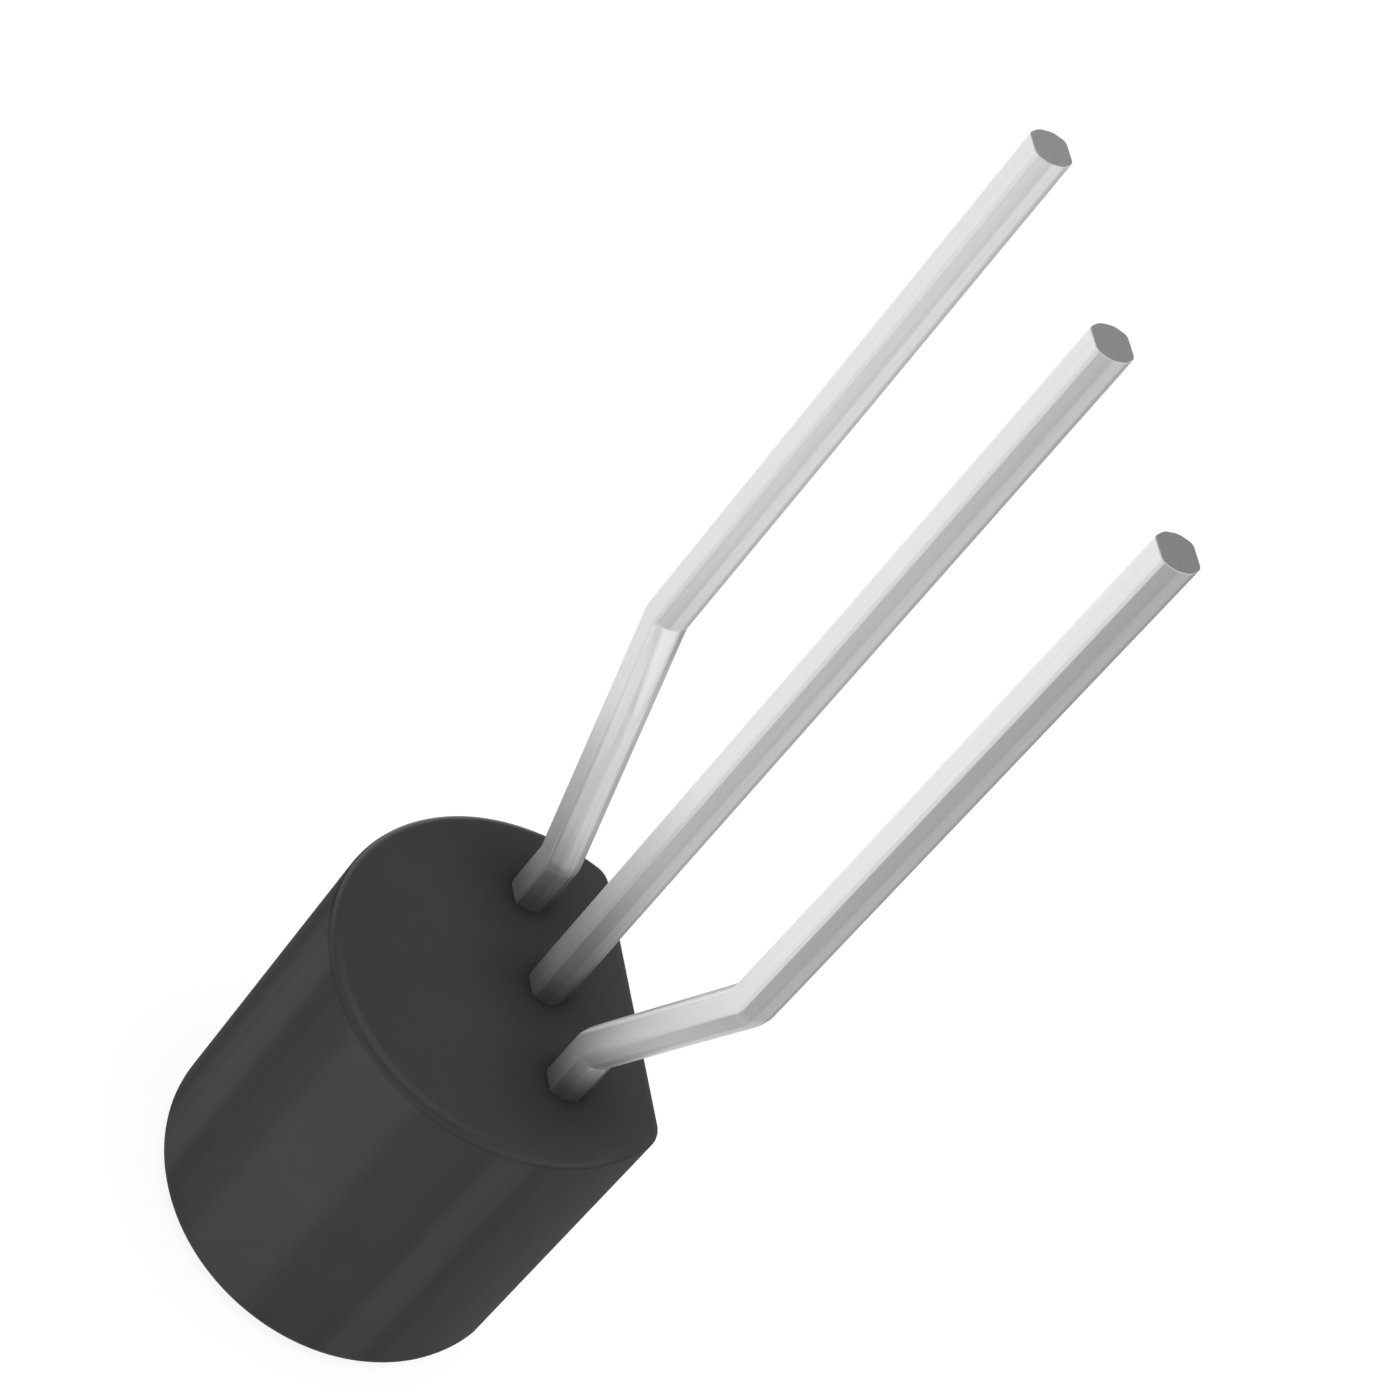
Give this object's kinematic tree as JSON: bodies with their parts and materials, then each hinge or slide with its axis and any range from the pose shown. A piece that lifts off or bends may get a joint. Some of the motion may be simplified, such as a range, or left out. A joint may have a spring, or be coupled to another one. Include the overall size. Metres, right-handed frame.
{
  "type": "transistor",
  "caption": "Through-hole transistor: a D-shaped moulded case with flat and round sides, and tinned leads formed out to a wider pitch.",
  "frame": {"origin": "the foot of the middle lead's axis on the head face, which is the flat end that the case stands on", "axes": "+Z from the head face along the leads to their tips, +X along the row from the collector lead to the emitter lead, -Y out of the flat side"},
  "size_m": [0.0056, 0.0039, 0.0166],
  "materials": {
    "moulding": "charcoal moulded epoxy, satin",
    "tinned_lead": "bright tin plate over copper alloy",
    "silicon": "polished silicon",
    "solder": "dull solder",
    "bond_wire": "drawn gold wire"
  },
  "bodies": {
    "root": {"case": "moulding", "emitter_lead": "tinned_lead", "base_lead": "tinned_lead", "collector_lead": "tinned_lead", "chip": "silicon", "chip_solder": "solder", "base_wire": "bond_wire", "emitter_wire": "bond_wire"}
  },
  "joints": []
}
